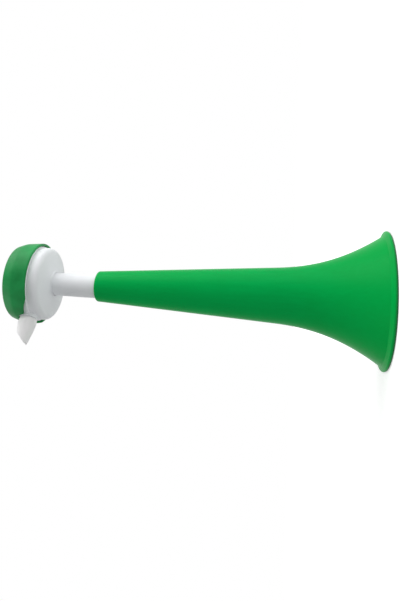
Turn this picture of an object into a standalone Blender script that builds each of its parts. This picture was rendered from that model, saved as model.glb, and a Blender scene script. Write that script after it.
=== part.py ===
"""Mouth-blown diaphragm horn: a flared bell, a blowing head that plugs into it, and a rear cap.

The horn stands on its bell mouth. Its axis is +Z and its mouthpiece points to -Y. Sizes are in metres.
"""
import math

import bmesh
import bpy
from mathutils import Matrix

# Fits
SEAT_GAP = 0.0003
PLUG_CLEARANCE = 0.0003
PORT_CLEARANCE = 0.0003
CAP_CLEARANCE = 0.0003
NOTCH_CLEARANCE = 0.0006

# Bell
BELL_LENGTH = 0.2176
BELL_MOUTH_RADIUS = 0.0507
BELL_TAIL_RADIUS = 0.0118
BELL_CONE_SLOPE = 0.0652
BELL_WALL = 0.0020
FLARE_LENGTH = 0.080
FLARE_POWER = 2.25
LIP_OVERHANG = 0.0011
LIP_RADIUS = 0.0014
LIP_TURN_HEIGHT = 0.0042
TAIL_EDGE_RADIUS = 0.0014
SOCKET_DEPTH = 0.025
SOCKET_LEAD_IN = 0.0005
STOP_RIB_RADIUS = 0.0083
STOP_RIB_HEIGHT = 0.0020

# Neck tube
NECK_PLUG_RADIUS = 0.0094
NECK_EXPOSED_LENGTH = 0.0378
NECK_TOP_RADIUS = 0.0088
NECK_BORE_RADIUS = 0.0072
NECK_COLLAR_RADIUS = 0.0115
NECK_COLLAR_HEIGHT = 0.0015
NECK_LIP_RADIUS = 0.0005

# Chamber drum
DRUM_RADIUS = 0.0285
DRUM_DEPTH = 0.0188
DRUM_WALL = 0.0022
SHOULDER_RADIUS = 0.0048
FLANGE_STEP = 0.0010
FLANGE_HEIGHT = 0.0096
HUB_EDGE = 0.0005
HUB_FILLET = 0.0012
FACE_LEAN = 10.7

# Inlet port in the drum's side
PORT_HEIGHT = 0.01145
PORT_BORE_RADIUS = 0.0053
BOSS_RADIUS = 0.0066
BOSS_REACH = 0.0024
BOSS_ROOT_DEPTH = 0.0015

# Mouthpiece
MOUTHPIECE_LENGTH = 0.0212
MOUTHPIECE_NOSE_HEIGHT = 0.0202
MOUTHPIECE_ROOT_RADIUS = 0.0064
MOUTHPIECE_SWELL_RADIUS = 0.0069
MOUTHPIECE_SWELL_HEIGHT = 0.0040
MOUTHPIECE_TIP_RADIUS = 0.0038
MOUTHPIECE_TAPER_POWER = 1.2
MOUTHPIECE_BORE_RADIUS = 0.0032
MOUTHPIECE_CUT_ANGLE = math.radians(43)
SPIGOT_LENGTH = 0.0049

# Diaphragm and the ring that holds it
FILM_THICKNESS = 0.00025
FILM_INSET = 0.0002
RING_INSET = 0.0003
RING_WIDTH = 0.0040
RING_HEIGHT = 0.0025

# Cap
CAP_WALL = 0.0020
CAP_DRAFT = 0.0007
CAP_RIM_OFFSET = 0.0087
CAP_CHAMFER_START = 0.0109
CAP_CHAMFER_WIDTH = 0.0020
CAP_LEDGE_WIDTH = 0.0025
CAP_BACK_ROOM = 0.00405
CAP_CORNER_RADIUS = 0.0024
CAP_CHAMFER_ANGLE = 15
CAP_INNER_CORNER_RADIUS = 0.0020
CAP_RIM_EDGE_RADIUS = 0.0006
VENT_RADIUS = 0.0015
RIM_RELIEF_RADIUS = 0.040
RIM_RELIEF_DEPTH = 0.0048

# Fineness of the meshes
WIDE_STEPS = 72
NARROW_STEPS = 48
FLARE_STEPS = 12
CONE_STEPS = 3
MOUTHPIECE_STEPS = 10
SHARP_ANGLE = math.radians(35)

# Reach of a cutter past what it cuts
CUTTER_MARGIN = 0.004


def clear_scene():
    for thing in list(bpy.data.objects):
        bpy.data.objects.remove(thing, do_unlink=True)


def plastic(name, colour, roughness, alpha=1.0):
    material = bpy.data.materials.new(name)
    material.use_nodes = True
    shader = material.node_tree.nodes["Principled BSDF"]
    shader.inputs["Base Color"].default_value = (*colour, 1.0)
    shader.inputs["Roughness"].default_value = roughness
    shader.inputs["Metallic"].default_value = 0.0
    shader.inputs["Alpha"].default_value = alpha
    return material


def green_plastic(name):
    return plastic(name, (0.002, 0.290, 0.060), 0.36)


def white_plastic(name):
    return plastic(name, (0.760, 0.780, 0.790), 0.40)


def film_plastic(name):
    return plastic(name, (0.600, 0.620, 0.620), 0.20, alpha=0.5)


def arc(centre, radius, start, end, steps):
    """Points on a circle in the (radius, height) plane, angles in degrees from straight outward."""
    points = []
    for step in range(steps + 1):
        angle = math.radians(start + (end - start) * step / steps)
        points.append((centre[0] + radius * math.cos(angle), centre[1] + radius * math.sin(angle)))
    return points


def turned_mesh(name, profile, steps):
    """Turn a closed profile of (radius, height) points once round the Z axis."""
    build = bmesh.new()
    corners = [build.verts.new((radius, 0.0, height)) for radius, height in profile]
    for first, second in zip(corners, corners[1:] + corners[:1]):
        build.edges.new((first, second))
    bmesh.ops.spin(build, geom=build.verts[:] + build.edges[:], cent=(0, 0, 0), axis=(0, 0, 1),
                   angle=math.tau, steps=steps, use_merge=True)
    bmesh.ops.remove_doubles(build, verts=build.verts[:], dist=1e-7)
    return finish_mesh(name, build)


def rod_mesh(name, radius, bottom, top, steps):
    """A round rod along Z."""
    build = bmesh.new()
    bmesh.ops.create_cone(build, cap_ends=True, segments=steps, radius1=radius, radius2=radius,
                          depth=top - bottom, matrix=Matrix.Translation((0, 0, (top + bottom) / 2)))
    return finish_mesh(name, build)


def block_mesh(name, low, high):
    """A box between two corners."""
    build = bmesh.new()
    size = [b - a for a, b in zip(low, high)]
    middle = [(a + b) / 2 for a, b in zip(low, high)]
    bmesh.ops.create_cube(build, size=1.0, matrix=Matrix.Translation(middle) @ Matrix.Diagonal((*size, 1.0)))
    return finish_mesh(name, build)


def finish_mesh(name, build):
    bmesh.ops.recalc_face_normals(build, faces=build.faces[:])
    mesh = bpy.data.meshes.new(name)
    build.to_mesh(mesh)
    build.free()
    mesh.shade_smooth()
    mesh.set_sharp_from_angle(angle=SHARP_ANGLE)
    return mesh


def place(name, data, parent=None, location=(0, 0, 0), rotation=(0, 0, 0)):
    thing = bpy.data.objects.new(name, data)
    bpy.context.scene.collection.objects.link(thing)
    thing.parent = parent
    thing.location = location
    thing.rotation_euler = rotation
    return thing


def guide(name, mesh, parent, location=(0, 0, 0), rotation=(0, 0, 0)):
    """A shape that only cuts or joins another piece."""
    thing = place(name, mesh, parent, location, rotation)
    thing.hide_render = True
    thing.display_type = "WIRE"
    return thing


def combine(piece, tool, operation):
    modifier = piece.modifiers.new(tool.name, "BOOLEAN")
    modifier.operation = operation
    modifier.solver = "EXACT"
    modifier.object = tool


def cone_radius(height):
    """Outer radius of the bell's long straight cone."""
    return BELL_TAIL_RADIUS + BELL_CONE_SLOPE * (BELL_LENGTH - height)


def flare_gain():
    rise = BELL_MOUTH_RADIUS - LIP_OVERHANG - cone_radius(0.0)
    return rise / FLARE_LENGTH ** FLARE_POWER


def bell_radius(height):
    """Outer radius of the bell: the cone and, near the mouth, a flare that grows by a power."""
    depth = max(0.0, FLARE_LENGTH - height)
    return cone_radius(height) + flare_gain() * depth ** FLARE_POWER


def bell_slope(height):
    depth = max(0.0, FLARE_LENGTH - height)
    return BELL_CONE_SLOPE + flare_gain() * FLARE_POWER * depth ** (FLARE_POWER - 1)


def bell_inner_radius(height):
    return bell_radius(height) - BELL_WALL * math.hypot(1.0, bell_slope(height))


def even_heights(low, high, steps):
    """Heights from low up to, but not including, high."""
    return [low + (high - low) * step / steps for step in range(steps)]


def wall_heights(low, high):
    """Heights along the bell's wall, close together in the flare and far apart in the cone."""
    return even_heights(low, FLARE_LENGTH, FLARE_STEPS) + even_heights(FLARE_LENGTH, high, CONE_STEPS)


def bell_profile():
    socket_radius = NECK_PLUG_RADIUS + PLUG_CLEARANCE
    socket_floor = BELL_LENGTH - SOCKET_DEPTH
    rib_base = socket_floor - STOP_RIB_HEIGHT
    ramp = bell_inner_radius(rib_base) - STOP_RIB_RADIUS
    ramp_base = rib_base - ramp
    tail_edge = BELL_LENGTH - TAIL_EDGE_RADIUS
    tail_centre = (cone_radius(tail_edge) - TAIL_EDGE_RADIUS, tail_edge)
    lip_centre = (BELL_MOUTH_RADIUS - LIP_RADIUS, LIP_RADIUS)

    outside = wall_heights(LIP_TURN_HEIGHT, tail_edge)
    inside = wall_heights(0.0, ramp_base)
    profile = arc(tail_centre, TAIL_EDGE_RADIUS, 90, 0, 3)
    profile += [(bell_radius(height), height) for height in reversed(outside)]
    profile += arc(lip_centre, LIP_RADIUS, 60, -90, 6)
    profile += [(bell_inner_radius(height), height) for height in inside]
    profile += [(bell_inner_radius(ramp_base), ramp_base), (STOP_RIB_RADIUS, rib_base)]
    profile += [(STOP_RIB_RADIUS, socket_floor), (socket_radius, socket_floor)]
    profile += [(socket_radius, BELL_LENGTH - SOCKET_LEAD_IN)]
    profile += [(socket_radius + SOCKET_LEAD_IN / 2, BELL_LENGTH)]
    return profile


def make_bell():
    bell = place("bell", turned_mesh("bell", bell_profile(), WIDE_STEPS))
    bell.data.materials.append(green_plastic("bell_plastic"))
    return bell


def make_neck_tube(parent):
    """The tube from the bell's socket through the drum to the lip that the film rests on."""
    drum_front = NECK_EXPOSED_LENGTH
    collar_base = drum_front + DRUM_WALL + SEAT_GAP
    collar_top = collar_base + NECK_COLLAR_HEIGHT
    lip_top = drum_front + DRUM_DEPTH
    plug_end = SEAT_GAP - SOCKET_DEPTH
    outer_lip = (NECK_TOP_RADIUS - NECK_LIP_RADIUS, lip_top - NECK_LIP_RADIUS)
    inner_lip = (NECK_BORE_RADIUS + NECK_LIP_RADIUS, lip_top - NECK_LIP_RADIUS)
    profile = arc(outer_lip, NECK_LIP_RADIUS, 90, 0, 2)
    profile += [(NECK_TOP_RADIUS, collar_top), (NECK_COLLAR_RADIUS, collar_top)]
    profile += [(NECK_COLLAR_RADIUS, collar_base), (NECK_TOP_RADIUS, collar_base)]
    profile += [(NECK_TOP_RADIUS, drum_front), (NECK_PLUG_RADIUS, 0.0)]
    profile += [(NECK_PLUG_RADIUS, plug_end), (NECK_BORE_RADIUS, plug_end)]
    profile += arc(inner_lip, NECK_LIP_RADIUS, 180, 90, 2)
    neck = place("neck_tube", turned_mesh("neck_tube", profile, NARROW_STEPS), parent)
    neck.data.materials.append(white_plastic("neck_plastic"))
    return neck


def dome_arc(shoulder_centre, hub_reach):
    """The domed front face, as an arc that leaves the shoulder smoothly and ends at the hub's fillet."""
    lean = math.radians(FACE_LEAN)
    reach = shoulder_centre[0] / math.sin(lean)
    centre = (0.0, shoulder_centre[1] + reach * math.cos(lean))
    radius = reach + SHOULDER_RADIUS
    hub_lean = math.degrees(math.asin(hub_reach / radius))
    return arc(centre, radius, FACE_LEAN - 90, hub_lean - 90, 4)


def drum_profile():
    flange_radius = DRUM_RADIUS + FLANGE_STEP
    flange_base = DRUM_DEPTH - FLANGE_HEIGHT
    inner_radius = DRUM_RADIUS - DRUM_WALL
    hole_radius = NECK_TOP_RADIUS + SEAT_GAP
    shoulder_centre = (DRUM_RADIUS - SHOULDER_RADIUS, SHOULDER_RADIUS)
    dome = dome_arc(shoulder_centre, hole_radius + HUB_EDGE + HUB_FILLET)
    fillet_centre = (dome[-1][0], dome[-1][1] - HUB_FILLET)
    profile = [(flange_radius, DRUM_DEPTH), (flange_radius, flange_base), (DRUM_RADIUS, flange_base)]
    profile += arc(shoulder_centre, SHOULDER_RADIUS, 0, FACE_LEAN - 90, 5)[:-1]
    profile += dome + arc(fillet_centre, HUB_FILLET, 90, 180, 3)[1:]
    profile += [(hole_radius, fillet_centre[1]), (hole_radius, DRUM_WALL)]
    profile += arc(shoulder_centre, SHOULDER_RADIUS - DRUM_WALL, -90, 0, 2)
    profile += [(inner_radius, DRUM_DEPTH)]
    return profile


def make_chamber_drum(parent):
    """The round cup that holds the blown air, with the inlet boss on its side."""
    mesh = turned_mesh("chamber_drum", drum_profile(), WIDE_STEPS)
    drum = place("chamber_drum", mesh, parent, (0, 0, NECK_EXPOSED_LENGTH))
    drum.data.materials.append(white_plastic("drum_plastic"))

    toward_port = (math.pi / 2, 0, 0)
    boss_root = DRUM_RADIUS - BOSS_ROOT_DEPTH
    boss_mesh = rod_mesh("inlet_boss", BOSS_RADIUS, boss_root, DRUM_RADIUS + BOSS_REACH, NARROW_STEPS)
    boss = guide("inlet_boss", boss_mesh, drum, (0, 0, PORT_HEIGHT), toward_port)
    port_start = DRUM_RADIUS - DRUM_WALL - CUTTER_MARGIN
    port_end = DRUM_RADIUS + BOSS_REACH + CUTTER_MARGIN
    port_mesh = rod_mesh("inlet_port", PORT_BORE_RADIUS, port_start, port_end, NARROW_STEPS)
    port = guide("inlet_port", port_mesh, drum, (0, 0, PORT_HEIGHT), toward_port)
    combine(drum, boss, "UNION")
    combine(drum, port, "DIFFERENCE")
    return drum


def mouthpiece_radius(height):
    """Outer radius of the mouthpiece: it swells from its root and then tapers to its tip."""
    if height < MOUTHPIECE_SWELL_HEIGHT:
        share = height / MOUTHPIECE_SWELL_HEIGHT
        rise = MOUTHPIECE_SWELL_RADIUS - MOUTHPIECE_ROOT_RADIUS
        return MOUTHPIECE_ROOT_RADIUS + rise * math.sin(share * math.pi / 2)
    share = (height - MOUTHPIECE_SWELL_HEIGHT) / (MOUTHPIECE_LENGTH - MOUTHPIECE_SWELL_HEIGHT)
    fall = MOUTHPIECE_SWELL_RADIUS - MOUTHPIECE_TIP_RADIUS
    return MOUTHPIECE_SWELL_RADIUS - fall * share ** MOUTHPIECE_TAPER_POWER


def make_mouthpiece(drum):
    """A spout on a spigot, cut at a slant so that its opening faces outward and to the rear.

    Its nose is cut off square just short of where the slant would come to a point.
    """
    spigot_radius = PORT_BORE_RADIUS - PORT_CLEARANCE
    nose = MOUTHPIECE_NOSE_HEIGHT
    heights = even_heights(0.0, nose, MOUTHPIECE_STEPS) + [nose]
    profile = [(mouthpiece_radius(height), height) for height in reversed(heights)]
    profile += [(spigot_radius, 0.0), (spigot_radius, -SPIGOT_LENGTH)]
    profile += [(MOUTHPIECE_BORE_RADIUS, -SPIGOT_LENGTH), (MOUTHPIECE_BORE_RADIUS, nose)]
    mesh = turned_mesh("mouthpiece", profile, NARROW_STEPS)
    root = (0, -(DRUM_RADIUS + BOSS_REACH + SEAT_GAP), PORT_HEIGHT)
    mouthpiece = place("mouthpiece", mesh, drum, root, (math.pi / 2, 0, 0))
    mouthpiece.data.materials.append(white_plastic("mouthpiece_plastic"))

    reach = MOUTHPIECE_LENGTH * 2
    cutter_mesh = block_mesh("slant_cut", (-reach, -reach, 0), (reach, reach, reach))
    tip = (0, -MOUTHPIECE_TIP_RADIUS, MOUTHPIECE_LENGTH)
    lean = MOUTHPIECE_CUT_ANGLE - math.pi / 2
    cutter = guide("slant_cut", cutter_mesh, mouthpiece, tip, (lean, 0, 0))
    combine(mouthpiece, cutter, "DIFFERENCE")
    return mouthpiece


def film_base():
    """Height of the film above the drum's front face."""
    return DRUM_DEPTH + SEAT_GAP


def ring_base():
    return film_base() + FILM_THICKNESS + SEAT_GAP


def make_diaphragm(drum):
    radius = DRUM_RADIUS + FLANGE_STEP - FILM_INSET
    mesh = rod_mesh("diaphragm", radius, 0.0, FILM_THICKNESS, WIDE_STEPS)
    diaphragm = place("diaphragm", mesh, drum, (0, 0, film_base()))
    diaphragm.data.materials.append(film_plastic("diaphragm_film"))
    return diaphragm


def make_retaining_ring(drum):
    outer = DRUM_RADIUS + FLANGE_STEP - RING_INSET
    inner = outer - RING_WIDTH
    profile = [(outer, RING_HEIGHT), (outer, 0.0), (inner, 0.0), (inner, RING_HEIGHT)]
    mesh = turned_mesh("retaining_ring", profile, WIDE_STEPS)
    ring = place("retaining_ring", mesh, drum, (0, 0, ring_base()))
    ring.data.materials.append(white_plastic("ring_plastic"))
    return ring


def cap_profile():
    """The cap's wall, with heights above its rim."""
    bore = DRUM_RADIUS + FLANGE_STEP + CAP_CLEARANCE
    rim_radius = bore + CAP_WALL
    ledge = ring_base() + RING_HEIGHT + SEAT_GAP - CAP_RIM_OFFSET
    ledge_radius = bore - CAP_LEDGE_WIDTH
    inner_back = ledge + CAP_BACK_ROOM
    outer_back = inner_back + CAP_WALL
    wall_radius = rim_radius - CAP_DRAFT
    back_radius = wall_radius - CAP_CHAMFER_WIDTH
    corner = (back_radius - CAP_CORNER_RADIUS, outer_back - CAP_CORNER_RADIUS)
    inner_corner = (ledge_radius - CAP_INNER_CORNER_RADIUS, inner_back - CAP_INNER_CORNER_RADIUS)
    rim_edge = (rim_radius - CAP_RIM_EDGE_RADIUS, CAP_RIM_EDGE_RADIUS)
    profile = [(VENT_RADIUS, outer_back)]
    profile += arc(corner, CAP_CORNER_RADIUS, 90, CAP_CHAMFER_ANGLE, 5) + [(wall_radius, CAP_CHAMFER_START)]
    profile += arc(rim_edge, CAP_RIM_EDGE_RADIUS, 0, -90, 2)
    profile += [(bore, 0.0), (bore, ledge), (ledge_radius, ledge)]
    profile += arc(inner_corner, CAP_INNER_CORNER_RADIUS, 0, 90, 3)
    profile += [(VENT_RADIUS, inner_back)]
    return profile


def make_cap(parent):
    """The rear cover. Its rim curves back and is notched where it slides on past the mouthpiece."""
    cap = place("cap", turned_mesh("cap", cap_profile(), WIDE_STEPS), parent)
    cap.data.materials.append(green_plastic("cap_plastic"))

    half_width = BOSS_RADIUS + NOTCH_CLEARANCE
    notch_height = PORT_HEIGHT - CAP_RIM_OFFSET
    skirt_radius = DRUM_RADIUS + FLANGE_STEP + CAP_CLEARANCE + CAP_WALL
    inner_reach = DRUM_RADIUS - DRUM_WALL - CUTTER_MARGIN
    outer_reach = skirt_radius + CUTTER_MARGIN
    round_mesh = rod_mesh("notch_end", half_width, inner_reach, outer_reach, NARROW_STEPS)
    round_end = guide("notch_end", round_mesh, cap, (0, 0, notch_height), (math.pi / 2, 0, 0))
    relief_mesh = rod_mesh("rim_relief", RIM_RELIEF_RADIUS, inner_reach, outer_reach, WIDE_STEPS * 2)
    relief_height = RIM_RELIEF_DEPTH - RIM_RELIEF_RADIUS
    relief = guide("rim_relief", relief_mesh, cap, (0, 0, relief_height), (math.pi / 2, 0, 0))
    low = (-half_width, -outer_reach, -CUTTER_MARGIN)
    high = (half_width, -inner_reach, notch_height)
    sides = guide("notch_sides", block_mesh("notch_sides", low, high), cap)
    combine(cap, relief, "DIFFERENCE")
    combine(cap, round_end, "DIFFERENCE")
    combine(cap, sides, "DIFFERENCE")
    return cap


def main():
    clear_scene()
    make_bell()
    head = place("head_slide", None, None, (0, 0, BELL_LENGTH))
    make_neck_tube(head)
    drum = make_chamber_drum(head)
    make_mouthpiece(drum)
    make_diaphragm(drum)
    make_retaining_ring(drum)
    cap_slide = place("cap_slide", None, head, (0, 0, NECK_EXPOSED_LENGTH + CAP_RIM_OFFSET))
    make_cap(cap_slide)


main()
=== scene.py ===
"""The looks of a mouth-blown diaphragm horn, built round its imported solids.

The horn stands on its bell mouth, its axis is +Z and its mouthpiece points to -Y. Shapes are worked
out in millimetres and become metres in their meshes. Camera, lamps and materials are in metres.
"""
import math

import bmesh
import bpy
from mathutils import Matrix, Vector
from mathutils.geometry import intersect_line_line_2d


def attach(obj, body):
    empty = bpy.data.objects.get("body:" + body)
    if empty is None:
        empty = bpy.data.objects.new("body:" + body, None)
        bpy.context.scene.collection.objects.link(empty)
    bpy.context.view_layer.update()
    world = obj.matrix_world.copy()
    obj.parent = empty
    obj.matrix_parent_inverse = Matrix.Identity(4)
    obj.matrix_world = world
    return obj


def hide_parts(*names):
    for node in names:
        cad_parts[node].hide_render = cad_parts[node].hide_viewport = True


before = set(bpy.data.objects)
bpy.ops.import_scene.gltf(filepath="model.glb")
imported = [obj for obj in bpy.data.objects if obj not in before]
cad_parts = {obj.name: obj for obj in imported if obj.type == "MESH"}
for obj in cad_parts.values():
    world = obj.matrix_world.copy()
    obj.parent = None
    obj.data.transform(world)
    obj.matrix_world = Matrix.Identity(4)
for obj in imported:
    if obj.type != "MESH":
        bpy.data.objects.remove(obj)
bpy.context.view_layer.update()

MM = 0.001

# Camera, fitted to the photograph
PHOTO_HEIGHT = 601
FOCAL_PIXELS = 571.3
AXIS_PIXEL_ROW = 240.0
CAMERA_PLACE = (0.3855, -0.1964, 0.0699)
CAMERA_RIGHT = (-0.1118, 0.1141, -0.9871)
CAMERA_UP = (0.5376, 0.8425, 0.0365)
SENSOR = 36.0

# Lamps, placed along the camera's right, up and back directions from the point that they face
SURROUND_STRENGTH = 0.38
LAMP_TARGET = (0.0, 0.0, 0.14)
LAMPS = (  # name, (right, up, back), (width, length along the horn), watts
    ("key", (0.0, 0.60, 0.05), (0.50, 0.70), 1.86),
    ("fill", (-0.45, 0.45, 0.0), (0.50, 0.50), 2.25),
    ("far_fill", (-0.85, -0.30, 0.0), (0.50, 0.50), 1.5),
)

# Floor, which lies just under the rim and glows to white away from the horn
FLOOR_HALF_SIDE = 6.0
FLOOR_DROP = 0.00005
FLOOR_COLOUR = (0.80, 0.80, 0.80, 1.0)
FLOOR_ROUGHNESS = 0.9
FLOOR_SPECULAR = 0.1
FLOOR_NEAR = 0.15
FLOOR_FAR = 0.60
FLOOR_NEAR_GLOW = 0.50
WHITE_LIGHT = (1.0, 1.0, 1.0, 1.0)

# Plastics
PLASTICS = {  # usual colour, deep colour, roughness, specular level, cloud scale, share of streaks
    "green_plastic": ((0.0, 0.408, 0.079), (0.0, 0.352, 0.063), 0.34, 0.04, 26.0, 0.40),
    "cap_green_plastic": ((0.018, 0.330, 0.084), (0.004, 0.170, 0.036), 0.42, 0.12, 42.0, 0.06),
    "white_plastic": ((0.865, 0.880, 0.900), (0.835, 0.855, 0.880), 0.46, 0.12, 26.0, 0.40),
    # Painted light: the spout's white is lighter than the drum's, a lit copy of the same white plastic; its
    # gloss differs too
    "spout_painted_light_white_plastic": ((0.925, 0.915, 0.920), (0.900, 0.890, 0.897), 0.36, 0.25, 26.0, 0.40),
    "film_plastic": ((0.820, 0.850, 0.850), (0.780, 0.810, 0.815), 0.15, 0.50, 26.0, 0.40),
}
FILM_ALPHA = 0.6
EVEN = (1, 1, 1)
FLOW_STRETCH, FLOW_SCALE = (1, 1, 0.035), 420.0
GRAIN_SCALE = 1900.0
SCUFF_STRETCH, SCUFF_SCALE = (1, 0.06, 0.3), 900.0
SCUFF_RANGE = (0.56, 0.72)
SINK_STRETCH, SINK_SCALE = (1, 1, 0.5), 34.0
NOISE_RANGE = (0.3, 0.7)

# What clouds, scuffs and grain add to the roughness
CLOUD_DULLNESS = (-0.04, 0.03)
SCUFF_DULLNESS = (0.0, 0.10)
GRAIN_DULLNESS = (-0.02, 0.02)

# Bumps: strength and depth
GRAIN_BUMP = (0.12, 0.00004)
SINK_BUMP = (0.25, 0.0012)

# Shifts of the bell's colour toward its mouth, painted light and painted shade: lowest and highest height,
# colour, share at the lowest
# Painted light: a yellower green toward the mouth, standing in for light shining through the flare's thin
# wall
FLARE_PAINTED_GLOW = (10.0, 70.0, (0.0, 0.400, 0.050), 0.35)
# Painted shade: a darker green on the lip's bead at the mouth, where its side turns away from the light
RIM_PAINTED_SHADE = (0.5, 1.9, (0.030, 0.130, 0.060), 0.85)

# Bell
BELL_LENGTH = 217.6
BELL_MOUTH_RADIUS = 50.7
BELL_TAIL_RADIUS = 11.8
BELL_CONE_SLOPE = 0.0652
BELL_WALL = 2.0
FLARE_LENGTH = 80.0
FLARE_POWER = 2.25
LIP_OVERHANG = 1.1
LIP_RADIUS = 1.4
LIP_START_ANGLE = 55
LIP_TURN_HEIGHT = 4.2
LIP_TURN_EDGE = 2.0
MOUTH_EDGE = 0.5
TAIL_EDGE_RADIUS = 1.4
SOCKET_RADIUS = 9.7
SOCKET_DEPTH = 25.0
SOCKET_FLOOR_EDGE = 0.2
SOCKET_MOUTH_EDGE = 0.6
STOP_RIB_RADIUS = 8.3
STOP_RIB_HEIGHT = 2.0
STOP_RAMP_EDGE = 0.8
STOP_RIB_EDGE = 0.5
STOP_RIB_TOP_EDGE = 0.25

# Neck tube
NECK_PLUG_RADIUS = 9.4
NECK_PLUG_END = 192.9
NECK_PLUG_BORE_EDGE = 0.4
NECK_TOP_RADIUS = 8.8
NECK_BORE_RADIUS = 7.2
NECK_END_EDGE = 0.5
NECK_COLLAR_RADIUS = 11.5
NECK_COLLAR_BASE = 257.9
NECK_COLLAR_HEIGHT = 1.5
NECK_COLLAR_EDGE = 0.3
NECK_COLLAR_ROOT_EDGE = 0.2

# Chamber drum
DRUM_FRONT = 255.4
DRUM_BACK = 274.2
DRUM_BACK_EDGE = 0.3
DRUM_RADIUS = 28.5
DRUM_WALL = 2.2
DRUM_SHOULDER = 4.8
DRUM_HOLE_RADIUS = 9.1
DRUM_HOLE_EDGE = 0.15
FACE_LEAN = 10.7
HUB_STEP = 0.5
HUB_STEP_EDGE = 0.1
HUB_FILLET = 1.2
HUB_FILLET_ANGLES = (95, 172)
FLANGE_RADIUS = 29.5
FLANGE_BASE = 264.6
FLANGE_EDGE = 0.4

# Inlet port and mouthpiece
PORT_HEIGHT = 266.85
PORT_BORE_RADIUS = 5.3
PORT_BORE_SPAN = (20.0, 36.0)
BOSS_RADIUS = 6.6
BOSS_START = 24.0
BOSS_END = 30.9
BOSS_EDGE = 0.3
MOUTHPIECE_ROOT = 31.2
MOUTHPIECE_LENGTH = 21.2
MOUTHPIECE_ROOT_RADIUS = 6.4
MOUTHPIECE_ROOT_EDGE = 0.3
MOUTHPIECE_SWELL_RADIUS = 6.9
MOUTHPIECE_SWELL_HEIGHT = 4.0
MOUTHPIECE_TIP_RADIUS = 3.8
MOUTHPIECE_TAPER_POWER = 1.2
MOUTHPIECE_BORE_RADIUS = 3.2
MOUTHPIECE_BORE_EDGE = 0.25
MOUTHPIECE_CUT_ANGLE = math.radians(43)
MOUTHPIECE_CUT_EDGE = 1.1
MOUTHPIECE_NOSE = 20.2
SPIGOT_RADIUS = 5.0
SPIGOT_LENGTH = 4.9
SPIGOT_EDGE = 0.3
SPIGOT_BORE_EDGE = 0.2
SPIGOT_ROOT_EDGE = 0.1

# Film and retaining ring
FILM_RADIUS = 29.3
FILM_BASE = 274.5
FILM_TOP = 274.75
RING_OUTER_RADIUS = 29.2
RING_INNER_RADIUS = 25.2
RING_BASE = 275.05
RING_BASE_EDGE = 0.3
RING_TOP = 277.55
RING_TOP_EDGE = 0.4

# Cap
CAP_RIM = 264.1
CAP_RIM_RADIUS = 31.8
CAP_RIM_EDGE = 0.6
CAP_RIM_INNER_EDGE = 0.36
CAP_WALL_RADIUS = 31.1
CAP_BEND_START = 11.0
CAP_WALL_HEIGHT = 10.9
CAP_BACK_RADIUS = 29.1
CAP_BACK_ANGLE = 20.0
CAP_BORE_RADIUS = 29.8
CAP_LEDGE_RADIUS = 27.3
CAP_LEDGE = 277.85
CAP_LEDGE_ROOT_EDGE = 0.2
CAP_LEDGE_EDGE = 0.3
CAP_INNER_BACK = 281.9
CAP_BACK = 283.9
CAP_CORNER_RADIUS = 2.4
CAP_INNER_CORNER_RADIUS = 2.0
VENT_RADIUS = 1.5
VENT_INNER_EDGE = 0.2
VENT_EDGE = 0.3
RELIEF_RADIUS = 40.0
RELIEF_DEPTH = 4.8
RELIEF_END_EDGE = 3.0
NOTCH_RADIUS = 7.2
NOTCH_HEIGHT = PORT_HEIGHT - CAP_RIM
NOTCH_SOFTNESS = 0.5
NOTCH_CORNER_INSET = 0.14
NOTCH_ARC_ANGLES = (16, 84)
NOTCH_ZONE = math.radians(42)
NOTCH_ZONE_FADE = 2.5
NOTCH_CLEAR = 10.7

# Fineness of the meshes
BELL_COLUMNS = 192
HEAD_COLUMNS = 168
TUBE_COLUMNS = 96
NOTCH_COLUMNS = 112
ROUND_STEPS = 4
SHARP_ANGLE = math.radians(40)
WELD_REACH = 5e-6
NORMAL_WEIGHT = 60

# Even steps along a wall stop this far from its ends
CLEAR = 2.0
NEAR_CLEAR = 1.0
LIP_CLEAR = 0.6
MOUTH_CLEAR = 0.9
PLUG_CLEAR = 4.0
FLANGE_CLEAR = 1.5
LEDGE_CLEAR = 1.2

# Places of single steps: below the bell's tail, below the flange's back, and round the cap's back
SOCKET_STEP = 12.0
FLANGE_STEP = 3.0
CAP_BACK_STEPS = (4.0, 9.0, 16.0, 22.0)

# The search for the height at which the spout's side meets its slanted cut
CUT_FIRST_GUESS = 12.0
CUT_ROUNDS = 30


# Profiles and meshes

def arc(centre, radius, start, end, steps):
    """Points on a circle in the (radius, height) plane, angles in degrees from straight outward."""
    points = []
    for step in range(steps + 1):
        angle = math.radians(start + (end - start) * step / steps)
        points.append((centre[0] + radius * math.cos(angle), centre[1] + radius * math.sin(angle)))
    return points


def spread(low, high, steps):
    """Even values from low to high, both included."""
    return [low + (high - low) * step / steps for step in range(steps + 1)]


def sharp(points):
    """Profile corners from plain points, with no rounding of their own."""
    return [(*point, 0) for point in points]


def wall(radius, heights):
    """Profile corners straight up or down a wall."""
    return [(radius, height, 0) for height in heights]


def rounded(corners, steps=ROUND_STEPS):
    """A closed profile from corners (x, y, radius): each corner with a radius becomes a short curve."""
    points = []
    count = len(corners)
    for index, (x, y, radius) in enumerate(corners):
        corner = Vector((x, y))
        if radius <= 0.0:
            points.append((x, y))
            continue
        before = Vector(corners[index - 1][:2]) - corner
        after = Vector(corners[(index + 1) % count][:2]) - corner
        turn = math.pi - before.angle(after)
        reach = min(radius * math.tan(turn / 2), 0.45 * before.length, 0.45 * after.length)
        start = corner + before.normalized() * reach
        end = corner + after.normalized() * reach
        points += curve(start, corner, end, spread(0.0, 1.0, steps))
    return points


def curve(start, bend, end, shares):
    """Points on the quadratic curve from start to end whose ends point at the bend."""
    points = [start.lerp(bend, share).lerp(bend.lerp(end, share), share) for share in shares]
    return [(point.x, point.y) for point in points]


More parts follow.
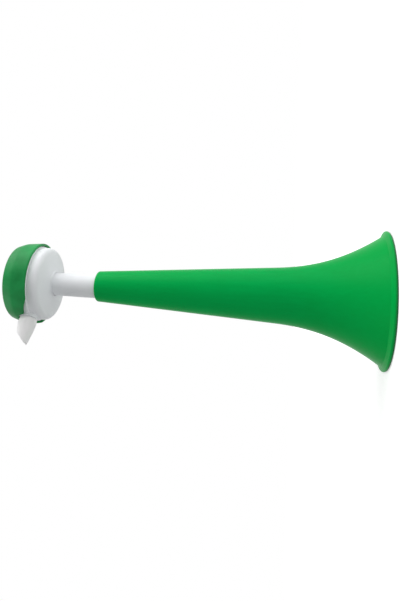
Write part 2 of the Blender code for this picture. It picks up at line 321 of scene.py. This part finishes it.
def close_mesh(build, name):
    """Turn a closed bmesh into a named mesh, with its faces outward."""
    bmesh.ops.recalc_face_normals(build, faces=build.faces[:])
    mesh = bpy.data.meshes.new(name)
    build.to_mesh(mesh)
    build.free()
    return mesh


def add_point(build, x, y, z):
    return build.verts.new((x * MM, y * MM, z * MM))


def loft(name, columns):
    """A closed skin over columns of points in millimetres, each column a closed loop."""
    build = bmesh.new()
    rows = [[add_point(build, *point) for point in column] for column in columns]
    size = len(rows[0])
    for index, column in enumerate(rows):
        following = rows[(index + 1) % len(rows)]
        for place in range(size):
            after = (place + 1) % size
            build.faces.new((column[place], following[place], following[after], column[after]))
    return close_mesh(build, name)


def turned(name, profile, columns):
    """A profile of (radius, height) points turned once round the Z axis."""
    rings = []
    for index in range(columns):
        angle = math.tau * index / columns
        rings.append([(r * math.cos(angle), r * math.sin(angle), h) for r, h in profile])
    return loft(name, rings)


def put(name, data):
    thing = bpy.data.objects.new(name, data)
    bpy.context.scene.collection.objects.link(thing)
    return thing


def put_turned(name, corners, columns):
    """A new object, turned from the rounded profile of its corners."""
    return put(name, turned(name, rounded(corners), columns))


def apply_modifiers(thing):
    """Swap the object's mesh for the one its modifiers make."""
    seen = thing.evaluated_get(bpy.context.evaluated_depsgraph_get())
    mesh = bpy.data.meshes.new_from_object(seen)
    mesh.name = thing.name
    thing.modifiers.clear()
    thing.data = mesh


def weld(mesh):
    """Merge the points of a cut mesh that lie on each other, with the faces of no area between them."""
    build = bmesh.new()
    build.from_mesh(mesh)
    bmesh.ops.remove_doubles(build, verts=build.verts[:], dist=WELD_REACH)
    bmesh.ops.dissolve_degenerate(build, edges=build.edges[:], dist=WELD_REACH)
    build.to_mesh(mesh)
    build.free()


def smooth(thing):
    """Smooth shading whose large faces keep their own normals."""
    thing.data.shade_smooth()
    thing.data.set_sharp_from_angle(angle=SHARP_ANGLE)
    weighted = thing.modifiers.new("weighted", "WEIGHTED_NORMAL")
    weighted.keep_sharp = True
    weighted.weight = NORMAL_WEIGHT
    apply_modifiers(thing)


def dress(thing, body, node_name, material):
    """Hand the piece its body, the solid that it stands for and its material."""
    smooth(thing)
    thing.data.materials.clear()
    thing.data.materials.append(material)
    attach(thing, body)
    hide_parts(node_name)


# Materials

def link(tree, start, end):
    tree.links.new(start, end)


def add_node(tree, kind, **inputs):
    made = tree.nodes.new(kind)
    for name, value in inputs.items():
        made.inputs[name.replace("_", " ")].default_value = value
    return made


def noise(tree, coordinates, stretch, scale, detail=3.0, roughness=0.5):
    mapping = tree.nodes.new("ShaderNodeMapping")
    mapping.inputs["Scale"].default_value = stretch
    link(tree, coordinates, mapping.inputs["Vector"])
    texture = add_node(tree, "ShaderNodeTexNoise", Scale=scale, Detail=detail, Roughness=roughness)
    link(tree, mapping.outputs["Vector"], texture.inputs["Vector"])
    return texture.outputs["Fac"]


def remap(tree, value, given, wanted):
    """Spread the given range of a value over the wanted one."""
    ramp = tree.nodes.new("ShaderNodeMapRange")
    for name, number in zip(("From Min", "From Max", "To Min", "To Max"), (*given, *wanted)):
        ramp.inputs[name].default_value = number
    link(tree, value, ramp.inputs["Value"])
    return ramp.outputs["Result"]


def blend_colours(tree, share, first, second):
    mix = tree.nodes.new("ShaderNodeMix")
    mix.data_type = "RGBA"
    link(tree, share, mix.inputs[0])
    for place, colour in ((6, first), (7, second)):
        if isinstance(colour, tuple):
            mix.inputs[place].default_value = (*colour, 1.0)
        else:
            link(tree, colour, mix.inputs[place])
    return mix.outputs[2]


def combine(tree, operation, first, second):
    made = tree.nodes.new("ShaderNodeMath")
    made.operation = operation
    link(tree, first, made.inputs[0])
    link(tree, second, made.inputs[1])
    return made.outputs[0]


def object_coordinates(tree):
    return tree.nodes.new("ShaderNodeTexCoord").outputs["Object"]


def add_bump(tree, height, strength, depth):
    bump = add_node(tree, "ShaderNodeBump", Strength=strength, Distance=depth)
    link(tree, height, bump.inputs["Height"])
    return bump


def plastic(name):
    """Moulded plastic: clouds and flow lines in its colour, uneven gloss, fine grain and faint sinks."""
    colour, deep, roughness, specular, cloud_scale, streaks = PLASTICS[name]
    material = bpy.data.materials.new(name)
    material.use_nodes = True
    tree = material.node_tree
    shader = tree.nodes["Principled BSDF"]
    shader.inputs["Specular IOR Level"].default_value = specular
    coordinates = object_coordinates(tree)

    clouds = noise(tree, coordinates, EVEN, cloud_scale)
    flow = noise(tree, coordinates, FLOW_STRETCH, FLOW_SCALE, detail=2.0)
    grain = noise(tree, coordinates, EVEN, GRAIN_SCALE, detail=2.0)
    scuffs = noise(tree, coordinates, SCUFF_STRETCH, SCUFF_SCALE, detail=4.0, roughness=0.65)
    sinks = noise(tree, coordinates, SINK_STRETCH, SINK_SCALE, detail=1.0)

    shade = combine(tree, "ADD", remap(tree, clouds, NOISE_RANGE, (0.0, 1.0 - streaks)),
                    remap(tree, flow, NOISE_RANGE, (0.0, streaks)))
    link(tree, blend_colours(tree, shade, deep, colour), shader.inputs["Base Color"])

    cloudy = [roughness + change for change in CLOUD_DULLNESS]
    dull = combine(tree, "ADD", remap(tree, clouds, NOISE_RANGE, cloudy),
                   remap(tree, scuffs, SCUFF_RANGE, SCUFF_DULLNESS))
    uneven = combine(tree, "ADD", dull, remap(tree, grain, NOISE_RANGE, GRAIN_DULLNESS))
    link(tree, uneven, shader.inputs["Roughness"])

    fine = add_bump(tree, grain, *GRAIN_BUMP)
    broad = add_bump(tree, sinks, *SINK_BUMP)
    link(tree, fine.outputs["Normal"], broad.inputs["Normal"])
    link(tree, broad.outputs["Normal"], shader.inputs["Normal"])
    return material


def blend_up_axis(material, low, high, colour, share):
    """Blend the base colour toward another one, from a share at one height to none at a second."""
    tree = material.node_tree
    target = tree.nodes["Principled BSDF"].inputs["Base Color"]
    before = target.links[0].from_socket
    split = tree.nodes.new("ShaderNodeSeparateXYZ")
    link(tree, object_coordinates(tree), split.inputs[0])
    fade = remap(tree, split.outputs["Z"], (low * MM, high * MM), (share, 0.0))
    link(tree, blend_colours(tree, fade, before, colour), target)


# Bell

def cone_radius(height):
    return BELL_TAIL_RADIUS + BELL_CONE_SLOPE * (BELL_LENGTH - height)


FLARE_GAIN = (BELL_MOUTH_RADIUS - LIP_OVERHANG - cone_radius(0.0)) / FLARE_LENGTH ** FLARE_POWER


def bell_radius(height):
    depth = max(0.0, FLARE_LENGTH - height)
    return cone_radius(height) + FLARE_GAIN * depth ** FLARE_POWER


def bell_inner_radius(height):
    depth = max(0.0, FLARE_LENGTH - height)
    slope = BELL_CONE_SLOPE + FLARE_GAIN * FLARE_POWER * depth ** (FLARE_POWER - 1)
    return bell_radius(height) - BELL_WALL * math.hypot(1.0, slope)


def make_bell():
    rib_base = BELL_LENGTH - SOCKET_DEPTH - STOP_RIB_HEIGHT
    rib_top = rib_base + STOP_RIB_HEIGHT
    ramp_base = rib_base - (bell_inner_radius(rib_base) - STOP_RIB_RADIUS)
    tail_edge = BELL_LENGTH - TAIL_EDGE_RADIUS
    tail_centre = (cone_radius(tail_edge) - TAIL_EDGE_RADIUS, tail_edge)
    lip_centre = (BELL_MOUTH_RADIUS - LIP_RADIUS, LIP_RADIUS)

    outside = spread(tail_edge, FLARE_LENGTH, 24)[1:]
    outside += spread(FLARE_LENGTH, LIP_TURN_HEIGHT + LIP_CLEAR, 40)[1:]
    inside = spread(MOUTH_CLEAR, FLARE_LENGTH, 40)
    inside += spread(FLARE_LENGTH, ramp_base - NEAR_CLEAR, 20)[1:]

    corners = sharp(arc(tail_centre, TAIL_EDGE_RADIUS, 90, 0, 8))
    corners += [(bell_radius(height), height, 0) for height in outside]
    corners += [(bell_radius(LIP_TURN_HEIGHT), LIP_TURN_HEIGHT, LIP_TURN_EDGE)]
    corners += sharp(arc(lip_centre, LIP_RADIUS, LIP_START_ANGLE, -90, 12))
    corners += [(bell_inner_radius(0.0), 0.0, MOUTH_EDGE)]
    corners += [(bell_inner_radius(height), height, 0) for height in inside]
    corners += [(bell_inner_radius(ramp_base), ramp_base, STOP_RAMP_EDGE)]
    corners += [(STOP_RIB_RADIUS, rib_base, STOP_RIB_EDGE), (STOP_RIB_RADIUS, rib_top, STOP_RIB_TOP_EDGE)]
    corners += [(SOCKET_RADIUS, rib_top, SOCKET_FLOOR_EDGE), (SOCKET_RADIUS, BELL_LENGTH - SOCKET_STEP, 0)]
    corners += [(SOCKET_RADIUS, BELL_LENGTH, SOCKET_MOUTH_EDGE)]
    return put_turned("bell_horn", corners, BELL_COLUMNS)


# Blowing head

def make_neck():
    collar_top = NECK_COLLAR_BASE + NECK_COLLAR_HEIGHT
    corners = [(NECK_BORE_RADIUS, DRUM_BACK, NECK_END_EDGE), (NECK_TOP_RADIUS, DRUM_BACK, NECK_END_EDGE)]
    corners += wall(NECK_TOP_RADIUS, spread(DRUM_BACK - CLEAR, collar_top + NEAR_CLEAR, 6))
    corners += [(NECK_TOP_RADIUS, collar_top, NECK_COLLAR_EDGE)]
    corners += [(NECK_COLLAR_RADIUS, collar_top, NECK_COLLAR_EDGE)]
    corners += [(NECK_COLLAR_RADIUS, NECK_COLLAR_BASE, NECK_COLLAR_EDGE)]
    corners += [(NECK_TOP_RADIUS, NECK_COLLAR_BASE, NECK_COLLAR_ROOT_EDGE)]
    for share in spread(0.0, 1.0, 10):
        radius = NECK_TOP_RADIUS + (NECK_PLUG_RADIUS - NECK_TOP_RADIUS) * share
        corners += [(radius, DRUM_FRONT + (BELL_LENGTH - DRUM_FRONT) * share, 0)]
    corners += wall(NECK_PLUG_RADIUS, spread(BELL_LENGTH - PLUG_CLEAR, NECK_PLUG_END + CLEAR, 6))
    corners += [(NECK_PLUG_RADIUS, NECK_PLUG_END, NECK_END_EDGE)]
    corners += [(NECK_BORE_RADIUS, NECK_PLUG_END, NECK_PLUG_BORE_EDGE)]
    corners += wall(NECK_BORE_RADIUS, spread(NECK_PLUG_END + CLEAR, DRUM_BACK - CLEAR, 16))
    return put_turned("neck_pipe", corners, TUBE_COLUMNS)


def drum_corners():
    """The drum's profile, from its back over the flange, shoulder and domed face, and back inside."""
    shoulder = (DRUM_RADIUS - DRUM_SHOULDER, DRUM_FRONT + DRUM_SHOULDER)
    inner = DRUM_RADIUS - DRUM_WALL
    corners = [(FLANGE_RADIUS, DRUM_BACK, DRUM_BACK_EDGE), (FLANGE_RADIUS, DRUM_BACK - FLANGE_STEP, 0)]
    corners += [(FLANGE_RADIUS, FLANGE_BASE, FLANGE_EDGE), (DRUM_RADIUS, FLANGE_BASE, FLANGE_EDGE)]
    corners += wall(DRUM_RADIUS, spread(FLANGE_BASE - FLANGE_CLEAR, shoulder[1] + NEAR_CLEAR, 5))
    corners += sharp(arc(shoulder, DRUM_SHOULDER, 0, FACE_LEAN - 90, 20)[:-1])

    lean = math.radians(FACE_LEAN)
    reach = shoulder[0] / math.sin(lean)
    dome_centre = (0.0, shoulder[1] + reach * math.cos(lean))
    dome_radius = reach + DRUM_SHOULDER
    hub_lean = math.degrees(math.asin((DRUM_HOLE_RADIUS + HUB_STEP + HUB_FILLET) / dome_radius))
    dome = arc(dome_centre, dome_radius, FACE_LEAN - 90, hub_lean - 90, 16)
    corners += sharp(dome)
    hub = (dome[-1][0], dome[-1][1] - HUB_FILLET)
    corners += sharp(arc(hub, HUB_FILLET, *HUB_FILLET_ANGLES, 8))
    corners += [(DRUM_HOLE_RADIUS + HUB_STEP, hub[1], HUB_STEP_EDGE)]

    corners += [(DRUM_HOLE_RADIUS, hub[1], DRUM_HOLE_EDGE)]
    corners += [(DRUM_HOLE_RADIUS, DRUM_FRONT + DRUM_WALL, DRUM_HOLE_EDGE)]
    corners += sharp(arc(shoulder, DRUM_SHOULDER - DRUM_WALL, -90, 0, 6))
    corners += wall(inner, spread(shoulder[1] + CLEAR, DRUM_BACK - CLEAR, 5))
    corners += [(inner, DRUM_BACK, DRUM_BACK_EDGE)]
    return corners


def solid_rod(name, profile):
    """A closed rod along Y at the port's height, from (radius, y) points."""
    build = bmesh.new()
    rings = []
    for radius, y in profile:
        ring = []
        for index in range(TUBE_COLUMNS):
            angle = math.tau * index / TUBE_COLUMNS
            height = PORT_HEIGHT + radius * math.sin(angle)
            ring.append(add_point(build, radius * math.cos(angle), y, height))
        rings.append(ring)
    for low, high in zip(rings, rings[1:]):
        for index in range(TUBE_COLUMNS):
            after = (index + 1) % TUBE_COLUMNS
            build.faces.new((low[index], low[after], high[after], high[index]))
    build.faces.new(rings[0])
    build.faces.new(rings[-1])
    return close_mesh(build, name)


def make_drum():
    drum = put_turned("drum_shell", drum_corners(), HEAD_COLUMNS)
    boss = [(BOSS_RADIUS, -BOSS_START), (BOSS_RADIUS, -BOSS_END + BOSS_EDGE)]
    boss += [(BOSS_RADIUS - BOSS_EDGE, -BOSS_END)]
    port = [(PORT_BORE_RADIUS, -depth) for depth in PORT_BORE_SPAN]
    for name, profile, operation in (("boss", boss, "UNION"), ("port", port, "DIFFERENCE")):
        tool = put(name, solid_rod(name, profile))
        cut = drum.modifiers.new(name, "BOOLEAN")
        cut.operation = operation
        cut.solver = "EXACT"
        cut.object = tool
        bpy.context.view_layer.update()
        apply_modifiers(drum)
        bpy.data.objects.remove(tool, do_unlink=True)
    weld(drum.data)
    return drum


def mouthpiece_radius(height):
    if height < MOUTHPIECE_SWELL_HEIGHT:
        rise = MOUTHPIECE_SWELL_RADIUS - MOUTHPIECE_ROOT_RADIUS
        return MOUTHPIECE_ROOT_RADIUS + rise * math.sin(height / MOUTHPIECE_SWELL_HEIGHT * math.pi / 2)
    share = (height - MOUTHPIECE_SWELL_HEIGHT) / (MOUTHPIECE_LENGTH - MOUTHPIECE_SWELL_HEIGHT)
    fall = MOUTHPIECE_SWELL_RADIUS - MOUTHPIECE_TIP_RADIUS
    return MOUTHPIECE_SWELL_RADIUS - fall * share ** MOUTHPIECE_TAPER_POWER


def cut_height(radius, side):
    """Height of the slanted cut above the root, blunt at its tip; side is 1 at the rear, -1 in front."""
    slant = MOUTHPIECE_LENGTH - (radius * side + MOUTHPIECE_TIP_RADIUS) / math.tan(MOUTHPIECE_CUT_ANGLE)
    return min(slant, MOUTHPIECE_NOSE)


def make_mouthpiece():
    columns = []
    for index in range(TUBE_COLUMNS):
        angle = math.tau * index / TUBE_COLUMNS
        side = math.sin(angle)
        outer_top = CUT_FIRST_GUESS
        for _ in range(CUT_ROUNDS):
            outer_top = (outer_top + cut_height(mouthpiece_radius(outer_top), side)) / 2
        inner_top = cut_height(MOUTHPIECE_BORE_RADIUS, side)
        bore = [inner_top + (-SPIGOT_LENGTH - inner_top) * share for share in spread(0.1, 0.9, 10)]

        corners = [(SPIGOT_RADIUS, 0.0, SPIGOT_ROOT_EDGE)]
        corners += [(MOUTHPIECE_ROOT_RADIUS, 0.0, MOUTHPIECE_ROOT_EDGE)]
        for share in spread(0.06, 0.86, 20):
            corners += [(mouthpiece_radius(outer_top * share), outer_top * share, 0)]
        corners += [(mouthpiece_radius(outer_top), outer_top, MOUTHPIECE_CUT_EDGE)]
        corners += [(MOUTHPIECE_BORE_RADIUS, inner_top, MOUTHPIECE_BORE_EDGE)]
        corners += wall(MOUTHPIECE_BORE_RADIUS, bore)
        corners += [(MOUTHPIECE_BORE_RADIUS, -SPIGOT_LENGTH, SPIGOT_BORE_EDGE)]
        corners += [(SPIGOT_RADIUS, -SPIGOT_LENGTH, SPIGOT_EDGE), (SPIGOT_RADIUS, -SPIGOT_LENGTH / 2, 0)]
        columns.append([(radius * math.cos(angle), -MOUTHPIECE_ROOT - height, PORT_HEIGHT + radius * side)
                        for radius, height in rounded(corners)])
    return put("mouthpiece_spout", loft("mouthpiece_spout", columns))


def make_film():
    """The thin flat sounding film across the neck's lip and the flange."""
    build = bmesh.new()
    rims = []
    for height in (FILM_TOP, FILM_BASE):
        rings = [[add_point(build, 0, 0, height)]]
        for radius in spread(0.0, FILM_RADIUS, 40)[1:]:
            ring = []
            for index in range(HEAD_COLUMNS):
                angle = math.tau * index / HEAD_COLUMNS
                ring.append(add_point(build, radius * math.cos(angle), radius * math.sin(angle), height))
            rings.append(ring)
        for inner, outer in zip(rings, rings[1:]):
            for index in range(HEAD_COLUMNS):
                after = (index + 1) % HEAD_COLUMNS
                if len(inner) == 1:
                    build.faces.new((inner[0], outer[index], outer[after]))
                else:
                    build.faces.new((inner[index], outer[index], outer[after], inner[after]))
        rims.append(rings[-1])
    for index in range(HEAD_COLUMNS):
        after = (index + 1) % HEAD_COLUMNS
        build.faces.new((rims[0][index], rims[1][index], rims[1][after], rims[0][after]))
    return put("film_disc", close_mesh(build, "film_disc"))


def make_ring():
    corners = [(RING_OUTER_RADIUS, RING_TOP, RING_TOP_EDGE), (RING_OUTER_RADIUS, RING_BASE, RING_BASE_EDGE)]
    corners += [(RING_INNER_RADIUS, RING_BASE, RING_BASE_EDGE), (RING_INNER_RADIUS, RING_TOP, RING_TOP_EDGE)]
    return put_turned("film_ring", corners, HEAD_COLUMNS)


# Cap, a loft whose columns follow the relief and notch in its rim

def relief_height(x):
    """Height above the rim of the curved relief, at a distance from the mouthpiece's plane."""
    return RELIEF_DEPTH - RELIEF_RADIUS + math.sqrt(RELIEF_RADIUS ** 2 - x ** 2)


def rim_outline():
    """The rim's edge across the relief and the notch, as (x, height) points with softened corners."""
    relief_end = math.sqrt(RELIEF_RADIUS ** 2 - (RELIEF_RADIUS - RELIEF_DEPTH) ** 2)
    zone_end = CAP_RIM_RADIUS * math.sin(NOTCH_ZONE)
    relief = spread(relief_end - NEAR_CLEAR, NOTCH_RADIUS + NEAR_CLEAR, 20)
    side = [(zone_end, 0.0, 0.0), (relief_end, 0.0, RELIEF_END_EDGE)]
    side += [(x, relief_height(x), 0.0) for x in relief]
    side += [(NOTCH_RADIUS - NOTCH_CORNER_INSET, relief_height(NOTCH_RADIUS), NOTCH_SOFTNESS)]
    side += sharp(arc((0.0, NOTCH_HEIGHT), NOTCH_RADIUS, *NOTCH_ARC_ANGLES, 34))
    mirrored = [(-x, height, soft) for x, height, soft in side]
    return rounded(mirrored + [(0.0, NOTCH_HEIGHT + NOTCH_RADIUS, 0.0)] + side[::-1])


def notch_path():
    """Even points along the rim's edge, as (x, height) pairs with normals into the wall."""
    outline = rim_outline()
    lengths = [0.0]
    for first, second in zip(outline, outline[1:]):
        lengths.append(lengths[-1] + math.dist(first, second))
    path = []
    for want in spread(0.0, lengths[-1], NOTCH_COLUMNS):
        index = max(i for i in range(len(outline) - 1) if lengths[i] <= want + 1e-9)
        share = (want - lengths[index]) / (lengths[index + 1] - lengths[index])
        (x0, h0), (x1, h1) = outline[index], outline[index + 1]
        run = math.dist(outline[index], outline[index + 1])
        normal = (-(h1 - h0) / run, (x1 - x0) / run)
        path.append(((x0 + (x1 - x0) * share, h0 + (h1 - h0) * share), normal))
    return path


def cap_skirt():
    """The skirt as (side, depth from that side, distance from the rim), up outside and down the bore."""
    skirt = [("out", 0.0, reach) for reach in spread(NOTCH_CLEAR, CAP_RIM_EDGE, 9)]
    for side, edge, angles in (
        ("out", CAP_RIM_EDGE, (22.5, 45.0, 67.5, 90.0)),
        ("in", CAP_RIM_INNER_EDGE, (90.0, 67.5, 45.0, 22.5)),
    ):
        for angle in angles:
            turn = math.radians(angle)
            skirt.append((side, edge * (1 - math.cos(turn)), edge * (1 - math.sin(turn))))
    return skirt + [("in", 0.0, reach) for reach in spread(CAP_RIM_INNER_EDGE, NOTCH_CLEAR, 9)]


def cap_wall_radius(height):
    """Outer radius of the cap's drafted wall at a height above its rim."""
    return CAP_RIM_RADIUS + (CAP_WALL_RADIUS - CAP_RIM_RADIUS) * height / CAP_WALL_HEIGHT


def cap_crown():
    """The cap above its notch, as (radius, height above the rim): up the bore, over the back, down."""
    back = CAP_BACK - CAP_RIM
    inner_back = CAP_INNER_BACK - CAP_RIM
    ledge = CAP_LEDGE - CAP_RIM
    corner = (CAP_BACK_RADIUS - CAP_CORNER_RADIUS, back - CAP_CORNER_RADIUS)
    inner_corner = (CAP_LEDGE_RADIUS - CAP_INNER_CORNER_RADIUS, inner_back - CAP_INNER_CORNER_RADIUS)

    points = [(CAP_BORE_RADIUS, NOTCH_CLEAR + NEAR_CLEAR, 0)]
    points += [(CAP_BORE_RADIUS, ledge, CAP_LEDGE_ROOT_EDGE), (CAP_LEDGE_RADIUS, ledge, CAP_LEDGE_EDGE)]
    points += [(CAP_LEDGE_RADIUS, ledge + LEDGE_CLEAR, 0)]
    points += sharp(arc(inner_corner, CAP_INNER_CORNER_RADIUS, 0, 90, 8))
    points += [(radius, inner_back, 0) for radius in reversed(CAP_BACK_STEPS)]
    points += [(VENT_RADIUS, inner_back, VENT_INNER_EDGE), (VENT_RADIUS, back, VENT_EDGE)]
    points += [(radius, back, 0) for radius in CAP_BACK_STEPS]
    shoulder = arc(corner, CAP_CORNER_RADIUS, 90, CAP_BACK_ANGLE, 12)
    points += sharp(shoulder)

    lean = math.radians(CAP_BACK_ANGLE)
    start, end = Vector(shoulder[-1]), Vector((CAP_WALL_RADIUS, CAP_BEND_START))
    below = start + 10.0 * Vector((math.sin(lean), -math.cos(lean)))
    above = end + Vector((CAP_WALL_RADIUS - CAP_RIM_RADIUS, CAP_WALL_HEIGHT))
    bend = intersect_line_line_2d(start, below, end, above)
    points += sharp(curve(start, bend, end, spread(0.0, 1.0, 10)[1:]))
    return rounded(points)


def cap_column(skirt, crown, angle, spot=None, normal=None, zone_edge=None):
    """One column of the cap; a spot on the rim's edge bends its skirt there, upward along a normal."""
    points = []
    for side, depth, reach in skirt:
        x, height = None, reach
        if spot:
            near = min(reach, CAP_RIM_EDGE)
            share = max(0.0, reach - CAP_RIM_EDGE) / (NOTCH_CLEAR - CAP_RIM_EDGE)
            x, height = spot[0] + normal[0] * near, spot[1] + normal[1] * near
            x += (CAP_RIM_RADIUS * math.sin(angle) - x) * share
            height += (NOTCH_CLEAR - height) * share
        radius = cap_wall_radius(height) - depth if side == "out" else CAP_BORE_RADIUS + depth
        turn = angle
        if spot:
            fade = min(1.0, max(0.0, (zone_edge - abs(x)) / NOTCH_ZONE_FADE))
            turn = math.asin(x / (CAP_RIM_RADIUS + (radius - CAP_RIM_RADIUS) * fade))
        points.append((radius * math.sin(turn), -radius * math.cos(turn), CAP_RIM + height))
    for radius, height in crown:
        points.append((radius * math.sin(angle), -radius * math.cos(angle), CAP_RIM + height))
    return points


def make_cap():
    skirt, crown, path = cap_skirt(), cap_crown(), notch_path()
    zone_edge = path[-1][0][0]
    columns = []
    for index, (spot, normal) in enumerate(path):
        angle = -NOTCH_ZONE + 2 * NOTCH_ZONE * index / NOTCH_COLUMNS
        columns.append(cap_column(skirt, crown, angle, spot, normal, zone_edge))
    for index in range(1, HEAD_COLUMNS):
        angle = NOTCH_ZONE + (math.tau - 2 * NOTCH_ZONE) * index / HEAD_COLUMNS
        columns.append(cap_column(skirt, crown, angle))
    return put("cap_shell", loft("cap_shell", columns))


# Camera, lamps and floor

def axes_at(place, x_axis, y_axis, z_axis):
    """The placement of a thing from its place and its three axes."""
    return Matrix.Translation(place) @ Matrix((x_axis, y_axis, z_axis)).transposed().to_4x4()


def make_camera():
    right, up = Vector(CAMERA_RIGHT).normalized(), Vector(CAMERA_UP)
    up = (up - right * up.dot(right)).normalized()
    data = bpy.data.cameras.new("camera")
    data.sensor_width = SENSOR
    data.sensor_fit = "AUTO"
    data.lens = FOCAL_PIXELS * SENSOR / PHOTO_HEIGHT
    data.shift_y = (AXIS_PIXEL_ROW - PHOTO_HEIGHT / 2) / PHOTO_HEIGHT
    camera = put("camera", data)
    camera.matrix_world = axes_at(CAMERA_PLACE, right, up, right.cross(up))
    bpy.context.scene.camera = camera


def make_lamps():
    """Soft rectangular lamps that face the horn, each with its width along the horn's axis."""
    right, up = Vector(CAMERA_RIGHT), Vector(CAMERA_UP)
    sides = (right, up, right.cross(up))
    target = Vector(LAMP_TARGET)
    for name, shares, (width, height), power in LAMPS:
        place = target + sum((side * share for side, share in zip(sides, shares)), Vector())
        data = bpy.data.lights.new(name, "AREA")
        data.shape = "RECTANGLE"
        data.size, data.size_y = width, height
        data.energy = power
        back = (place - target).normalized()
        along = Vector((0, 0, 1))
        along = (along - back * along.dot(back)).normalized()
        put(name, data).matrix_world = axes_at(place, along.cross(back), along, back)


def seen_or_mirrored(tree):
    """1 for the rays of the camera and of mirrored or clear surfaces, else 0."""
    paths = tree.nodes.new("ShaderNodeLightPath").outputs
    mirrored = combine(tree, "MAXIMUM", paths["Is Camera Ray"], paths["Is Glossy Ray"])
    return combine(tree, "MAXIMUM", mirrored, paths["Is Transmission Ray"])


def make_world():
    world = bpy.data.worlds.new("studio")
    bpy.context.scene.world = world
    world.use_nodes = True
    tree = world.node_tree
    background = tree.nodes["Background"]
    background.inputs["Color"].default_value = WHITE_LIGHT
    strength = remap(tree, seen_or_mirrored(tree), (0.0, 1.0), (SURROUND_STRENGTH, 1.0))
    link(tree, strength, background.inputs["Strength"])


def make_floor():
    """A pale floor that keeps the horn's shadow, and glows white for the rays that see it."""
    build = bmesh.new()
    bmesh.ops.create_grid(build, x_segments=8, y_segments=8, size=FLOOR_HALF_SIDE)
    mesh = bpy.data.meshes.new("floor")
    build.to_mesh(mesh)
    build.free()
    floor = put("floor", mesh)
    floor.location.z = -FLOOR_DROP
    material = bpy.data.materials.new("floor")
    material.use_nodes = True
    tree = material.node_tree
    shader = tree.nodes["Principled BSDF"]
    shader.inputs["Base Color"].default_value = FLOOR_COLOUR
    shader.inputs["Roughness"].default_value = FLOOR_ROUGHNESS
    shader.inputs["Specular IOR Level"].default_value = FLOOR_SPECULAR
    shader.inputs["Emission Color"].default_value = WHITE_LIGHT
    distance = tree.nodes.new("ShaderNodeVectorMath")
    distance.operation = "LENGTH"
    link(tree, object_coordinates(tree), distance.inputs[0])
    glow = remap(tree, distance.outputs["Value"], (FLOOR_NEAR, FLOOR_FAR), (FLOOR_NEAR_GLOW, 1.0))
    shown = combine(tree, "MULTIPLY", seen_or_mirrored(tree), glow)
    link(tree, shown, shader.inputs["Emission Strength"])
    mesh.materials.append(material)


def main():
    bpy.context.scene.view_settings.view_transform = "Standard"
    make_camera()
    make_world()
    make_lamps()
    make_floor()

    green = plastic("green_plastic")
    # Painted light: the flare turns yellower toward the mouth, for light shining through its thin wall
    blend_up_axis(green, *FLARE_PAINTED_GLOW)
    # Painted shade: a darker green on the lip's bead at the mouth
    blend_up_axis(green, *RIM_PAINTED_SHADE)
    cap_green = plastic("cap_green_plastic")
    white = plastic("white_plastic")
    # Painted light: a lighter, lit copy of the drum's white for the spout
    spout_painted_light_white = plastic("spout_painted_light_white_plastic")
    film = plastic("film_plastic")
    film.node_tree.nodes["Principled BSDF"].inputs["Alpha"].default_value = FILM_ALPHA

    dress(make_bell(), "bell_body", "bell", green)
    dress(make_neck(), "head_body", "neck_tube", white)
    dress(make_drum(), "head_body", "chamber_drum", white)
    dress(make_mouthpiece(), "head_body", "mouthpiece", spout_painted_light_white)
    dress(make_ring(), "head_body", "retaining_ring", white)
    dress(make_film(), "film_body", "diaphragm", film)
    dress(make_cap(), "cap_body", "cap", cap_green)


main()
